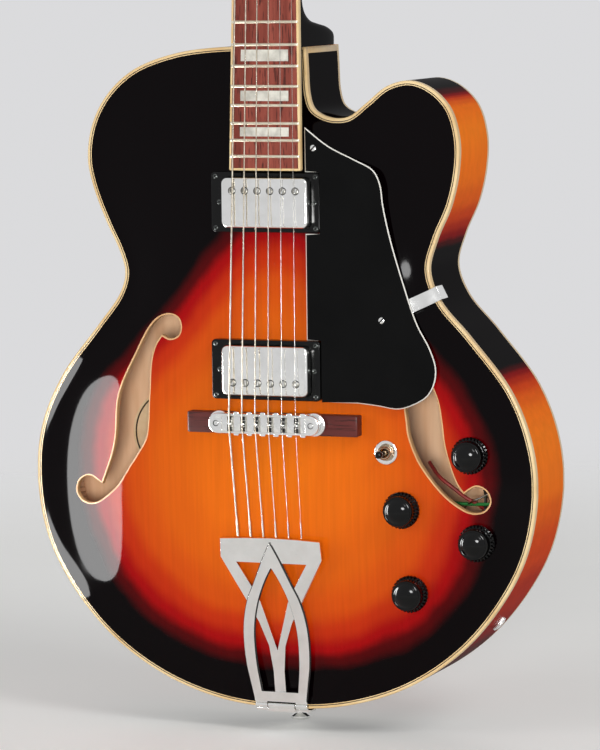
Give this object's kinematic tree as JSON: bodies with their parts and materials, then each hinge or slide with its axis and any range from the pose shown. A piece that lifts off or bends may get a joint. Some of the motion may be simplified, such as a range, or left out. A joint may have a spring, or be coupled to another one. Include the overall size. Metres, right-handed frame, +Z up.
{
  "type": "hollow-body electric guitar",
  "caption": "Arched hollow-body electric guitar with one rounded cutaway, f-holes, two covered pickups, a floating bridge and a hinged lattice tailpiece.",
  "frame": {"origin": "centre of the outer face of the end strap button, at the middle of the rim's depth", "axes": "+Z up the body's centre line towards the headstock, +X towards the treble side (the cutaway), -Y out of the strings"},
  "size_m": [0.3996, 0.1258, 1.0319],
  "materials": {
    "burst_lacquer": "laminated maple in a high-gloss sunburst lacquer, orange centre through red to black edges",
    "cream_binding": "aged cream binding under clear lacquer",
    "bare_spruce": "bare unlacquered spruce",
    "black_lacquer": "high-gloss black lacquer",
    "rod_steel": "plain drawn steel",
    "rosewood": "open-pored satin rosewood",
    "bone": "polished bone",
    "black_plastic": "glossy black",
    "chrome": "polished chrome plate",
    "control_metal": "zinc-plated cans",
    "string_steel": "drawn and wound wire"
  },
  "bodies": {
    "guitar": {"top_plate": "burst_lacquer", "back_plate": "burst_lacquer", "bass_side": "burst_lacquer", "treble_side": "burst_lacquer", "top_binding": "cream_binding", "back_binding": "cream_binding", "neck_block": "bare_spruce", "tail_block": "bare_spruce", "bass_tone_bar": "bare_spruce", "treble_tone_bar": "bare_spruce", "neck": "black_lacquer", "truss_rod": "rod_steel", "fingerboard": "rosewood", "nut": "bone", "neck_pickup_ring": "black_plastic", "bridge_pickup_ring": "black_plastic", "neck_pickup": "chrome", "bridge_pickup": "chrome", "bridge_base": "rosewood", "tailpiece_bracket": "chrome", "end_button": "chrome", "heel_button": "chrome", "pickguard": "black_plastic", "pickguard_stay": "chrome", "control_harness": "control_metal", "switch_body": "chrome", "output_jack": "chrome", "string_1": "string_steel", "string_2": "string_steel", "string_3": "string_steel", "string_4": "string_steel", "string_5": "string_steel", "string_6": "string_steel"},
    "bridge": {"bridge_body": "chrome"},
    "bass_wheel": {"bass_thumbwheel": "chrome"},
    "treble_wheel": {"treble_thumbwheel": "chrome"},
    "saddle_1": {"saddle_1": "chrome"},
    "saddle_2": {"saddle_2": "chrome"},
    "saddle_3": {"saddle_3": "chrome"},
    "saddle_4": {"saddle_4": "chrome"},
    "saddle_5": {"saddle_5": "chrome"},
    "saddle_6": {"saddle_6": "chrome"},
    "tailpiece": {"tailpiece_frame": "chrome"},
    "neck_volume": {"neck_volume_knob": "black_plastic"},
    "neck_tone": {"neck_tone_knob": "black_plastic"},
    "bridge_volume": {"bridge_volume_knob": "black_plastic"},
    "bridge_tone": {"bridge_tone_knob": "black_plastic"},
    "lever": {"switch_lever": "black_plastic"},
    "post_bass_1": {"tuner_post_bass_1": "chrome"},
    "post_bass_2": {"tuner_post_bass_2": "chrome"},
    "post_bass_3": {"tuner_post_bass_3": "chrome"},
    "post_treble_1": {"tuner_post_treble_1": "chrome"},
    "post_treble_2": {"tuner_post_treble_2": "chrome"},
    "post_treble_3": {"tuner_post_treble_3": "chrome"},
    "button_bass_1": {"tuner_button_bass_1": "chrome"},
    "button_bass_2": {"tuner_button_bass_2": "chrome"},
    "button_bass_3": {"tuner_button_bass_3": "chrome"},
    "button_treble_1": {"tuner_button_treble_1": "chrome"},
    "button_treble_2": {"tuner_button_treble_2": "chrome"},
    "button_treble_3": {"tuner_button_treble_3": "chrome"}
  },
  "joints": [
    {"name": "bridge_lift", "type": "slide", "parent": "guitar", "child": "bridge", "axis": [0, -1, 0], "range_m": [-0.002, 0]},
    {"name": "bass_wheel_turn", "type": "hinge", "parent": "bridge", "child": "bass_wheel", "pos_m": [-0.0375, -0.0638, 0.2337], "axis": [0, -1, 0], "range_deg": [-720, 0]},
    {"name": "treble_wheel_turn", "type": "hinge", "parent": "bridge", "child": "treble_wheel", "pos_m": [0.0375, -0.0638, 0.2337], "axis": [0, -1, 0], "range_deg": [-720, 0]},
    {"name": "saddle_1_slide", "type": "slide", "parent": "bridge", "child": "saddle_1", "axis": [0, 0, 1], "range_m": [-0.0026, 0.0026]},
    {"name": "saddle_2_slide", "type": "slide", "parent": "bridge", "child": "saddle_2", "axis": [0, 0, 1], "range_m": [-0.0026, 0.0026]},
    {"name": "saddle_3_slide", "type": "slide", "parent": "bridge", "child": "saddle_3", "axis": [0, 0, 1], "range_m": [-0.0026, 0.0026]},
    {"name": "saddle_4_slide", "type": "slide", "parent": "bridge", "child": "saddle_4", "axis": [0, 0, 1], "range_m": [-0.0026, 0.0026]},
    {"name": "saddle_5_slide", "type": "slide", "parent": "bridge", "child": "saddle_5", "axis": [0, 0, 1], "range_m": [-0.0026, 0.0026]},
    {"name": "saddle_6_slide", "type": "slide", "parent": "bridge", "child": "saddle_6", "axis": [0, 0, 1], "range_m": [-0.0026, 0.0026]},
    {"name": "tailpiece_swing", "type": "hinge", "parent": "guitar", "child": "tailpiece", "pos_m": [0, -0.0394, 0.017], "axis": [1, 0, 0], "range_deg": [0, 40], "stiffness_Nm_per_rad": 0.5, "springref_deg": -5.73},
    {"name": "neck_volume_turn", "type": "hinge", "parent": "guitar", "child": "neck_volume", "pos_m": [0.1525, -0.05, 0.2126], "axis": [0, -1, 0], "range_deg": [-150, 150]},
    {"name": "neck_tone_turn", "type": "hinge", "parent": "guitar", "child": "neck_tone", "pos_m": [0.1568, -0.05, 0.1477], "axis": [0, -1, 0], "range_deg": [-150, 150]},
    {"name": "bridge_volume_turn", "type": "hinge", "parent": "guitar", "child": "bridge_volume", "pos_m": [0.1008, -0.05, 0.1709], "axis": [0, -1, 0], "range_deg": [-150, 150]},
    {"name": "bridge_tone_turn", "type": "hinge", "parent": "guitar", "child": "bridge_tone", "pos_m": [0.1059, -0.05, 0.1082], "axis": [0, -1, 0], "range_deg": [-150, 150]},
    {"name": "switch_throw", "type": "hinge", "parent": "guitar", "child": "lever", "pos_m": [0.0882, -0.0505, 0.2131], "axis": [1, 0, 0], "range_deg": [-12, 12]},
    {"name": "button_bass_1_turn", "type": "hinge", "parent": "guitar", "child": "button_bass_1", "pos_m": [-0.02232, -0.00883, 0.90161], "axis": [1, 0, 0], "continuous": true},
    {"name": "button_bass_2_turn", "type": "hinge", "parent": "guitar", "child": "button_bass_2", "pos_m": [-0.02361, 0.00316, 0.9429], "axis": [1, 0, 0], "continuous": true},
    {"name": "button_bass_3_turn", "type": "hinge", "parent": "guitar", "child": "button_bass_3", "pos_m": [-0.0249, 0.01516, 0.98419], "axis": [1, 0, 0], "continuous": true},
    {"name": "button_treble_1_turn", "type": "hinge", "parent": "guitar", "child": "button_treble_1", "pos_m": [0.02232, -0.00883, 0.90161], "axis": [1, 0, 0], "continuous": true},
    {"name": "button_treble_2_turn", "type": "hinge", "parent": "guitar", "child": "button_treble_2", "pos_m": [0.02361, 0.00316, 0.9429], "axis": [1, 0, 0], "continuous": true},
    {"name": "button_treble_3_turn", "type": "hinge", "parent": "guitar", "child": "button_treble_3", "pos_m": [0.0249, 0.01516, 0.98419], "axis": [1, 0, 0], "continuous": true},
    {"name": "post_bass_1_turn", "type": "hinge", "parent": "guitar", "child": "post_bass_1", "pos_m": [-0.02232, -0.02636, 0.91295], "axis": [0, -0.9603, 0.279], "continuous": true},
    {"name": "post_bass_2_turn", "type": "hinge", "parent": "guitar", "child": "post_bass_2", "pos_m": [-0.02361, -0.01437, 0.95424], "axis": [0, -0.9603, 0.279], "continuous": true},
    {"name": "post_bass_3_turn", "type": "hinge", "parent": "guitar", "child": "post_bass_3", "pos_m": [-0.0249, -0.00237, 0.99553], "axis": [0, -0.9603, 0.279], "continuous": true},
    {"name": "post_treble_1_turn", "type": "hinge", "parent": "guitar", "child": "post_treble_1", "pos_m": [0.02232, -0.02636, 0.91295], "axis": [0, -0.9603, 0.279], "continuous": true},
    {"name": "post_treble_2_turn", "type": "hinge", "parent": "guitar", "child": "post_treble_2", "pos_m": [0.02361, -0.01437, 0.95424], "axis": [0, -0.9603, 0.279], "continuous": true},
    {"name": "post_treble_3_turn", "type": "hinge", "parent": "guitar", "child": "post_treble_3", "pos_m": [0.0249, -0.00237, 0.99553], "axis": [0, -0.9603, 0.279], "continuous": true}
  ],
  "couplings": [
    {"joint": "bass_wheel_turn", "follows": "bridge_lift", "rad_per_m": 6283.2},
    {"joint": "treble_wheel_turn", "follows": "bridge_lift", "rad_per_m": 6283.2},
    {"joint": "post_bass_1_turn", "follows": "button_bass_1_turn", "ratio": 0.071429},
    {"joint": "post_bass_2_turn", "follows": "button_bass_2_turn", "ratio": 0.071429},
    {"joint": "post_bass_3_turn", "follows": "button_bass_3_turn", "ratio": 0.071429},
    {"joint": "post_treble_1_turn", "follows": "button_treble_1_turn", "ratio": -0.071429},
    {"joint": "post_treble_2_turn", "follows": "button_treble_2_turn", "ratio": -0.071429},
    {"joint": "post_treble_3_turn", "follows": "button_treble_3_turn", "ratio": -0.071429}
  ]
}
